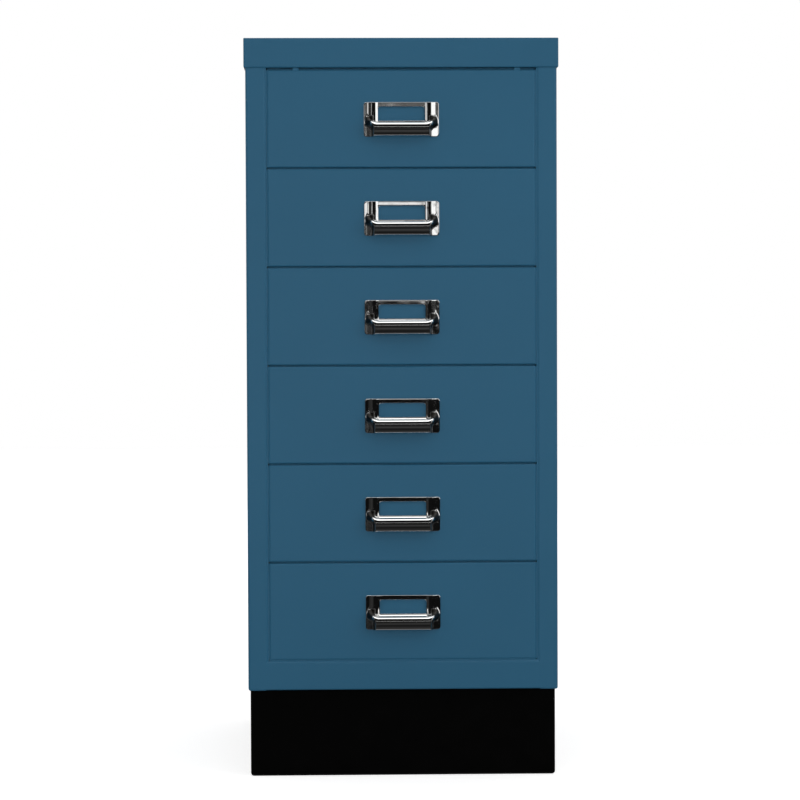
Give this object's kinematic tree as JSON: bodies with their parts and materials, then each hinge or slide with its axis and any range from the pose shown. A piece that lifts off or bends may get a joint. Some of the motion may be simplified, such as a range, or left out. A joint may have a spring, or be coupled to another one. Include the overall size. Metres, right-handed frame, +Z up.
{
  "type": "small metal drawer cabinet",
  "caption": "Narrow folded steel cabinet with a deep cap, a column of equal drawers on side runners, pressed chrome pulls with card windows, and a black plinth set back below.",
  "frame": {"origin": "on the floor under the middle of the whole cabinet, handles and cap included", "axes": "+Z up, drawers face -Y, +X to the right seen from the front"},
  "size_m": [0.283, 0.3963, 0.6675],
  "materials": {
    "body_paint": "fine satin powder coat, grey blue",
    "plinth_paint": "satin black powder coat",
    "handle_chrome": "bright chrome plate on a steel pressing",
    "zinc_plate": "dull zinc plate",
    "steel_hardware": "bright zinc plated steel",
    "nylon": "natural nylon",
    "rubber": "matt black"
  },
  "bodies": {
    "carcass": {"left_side": "body_paint", "right_side": "body_paint", "back_panel": "body_paint", "top_cap": "body_paint", "top_rail": "body_paint", "bottom_rail": "body_paint", "base_pan": "body_paint", "post_front_left": "zinc_plate", "post_front_right": "zinc_plate", "post_rear_left": "zinc_plate", "post_rear_right": "zinc_plate", "runner_rivets": "steel_hardware", "runner_pads": "nylon", "closing_buffers": "rubber", "plinth": "plinth_paint", "plinth_screws": "steel_hardware", "runner_left_1": "zinc_plate", "runner_left_2": "zinc_plate", "runner_left_3": "zinc_plate", "runner_left_4": "zinc_plate", "runner_left_5": "zinc_plate", "runner_left_6": "zinc_plate", "runner_right_1": "zinc_plate", "runner_right_2": "zinc_plate", "runner_right_3": "zinc_plate", "runner_right_4": "zinc_plate", "runner_right_5": "zinc_plate", "runner_right_6": "zinc_plate"},
    "drawer_1": {"drawer_front_1": "body_paint", "drawer_tray_1": "body_paint", "drawer_glides_1": "nylon", "handle_1": "handle_chrome", "handle_nuts_1": "steel_hardware"},
    "drawer_2": {"drawer_front_2": "body_paint", "drawer_tray_2": "body_paint", "drawer_glides_2": "nylon", "handle_2": "handle_chrome", "handle_nuts_2": "steel_hardware"},
    "drawer_3": {"drawer_front_3": "body_paint", "drawer_tray_3": "body_paint", "drawer_glides_3": "nylon", "handle_3": "handle_chrome", "handle_nuts_3": "steel_hardware"},
    "drawer_4": {"drawer_front_4": "body_paint", "drawer_tray_4": "body_paint", "drawer_glides_4": "nylon", "handle_4": "handle_chrome", "handle_nuts_4": "steel_hardware"},
    "drawer_5": {"drawer_front_5": "body_paint", "drawer_tray_5": "body_paint", "drawer_glides_5": "nylon", "handle_5": "handle_chrome", "handle_nuts_5": "steel_hardware"},
    "drawer_6": {"drawer_front_6": "body_paint", "drawer_tray_6": "body_paint", "drawer_glides_6": "nylon", "handle_6": "handle_chrome", "handle_nuts_6": "steel_hardware"}
  },
  "joints": [
    {"name": "drawer_1_slide", "type": "slide", "parent": "carcass", "child": "drawer_1", "axis": [0, -1, 0], "range_m": [0, 0.3]},
    {"name": "drawer_2_slide", "type": "slide", "parent": "carcass", "child": "drawer_2", "axis": [0, -1, 0], "range_m": [0, 0.3]},
    {"name": "drawer_3_slide", "type": "slide", "parent": "carcass", "child": "drawer_3", "axis": [0, -1, 0], "range_m": [0, 0.3]},
    {"name": "drawer_4_slide", "type": "slide", "parent": "carcass", "child": "drawer_4", "axis": [0, -1, 0], "range_m": [0, 0.3]},
    {"name": "drawer_5_slide", "type": "slide", "parent": "carcass", "child": "drawer_5", "axis": [0, -1, 0], "range_m": [0, 0.3]},
    {"name": "drawer_6_slide", "type": "slide", "parent": "carcass", "child": "drawer_6", "axis": [0, -1, 0], "range_m": [0, 0.3]}
  ]
}
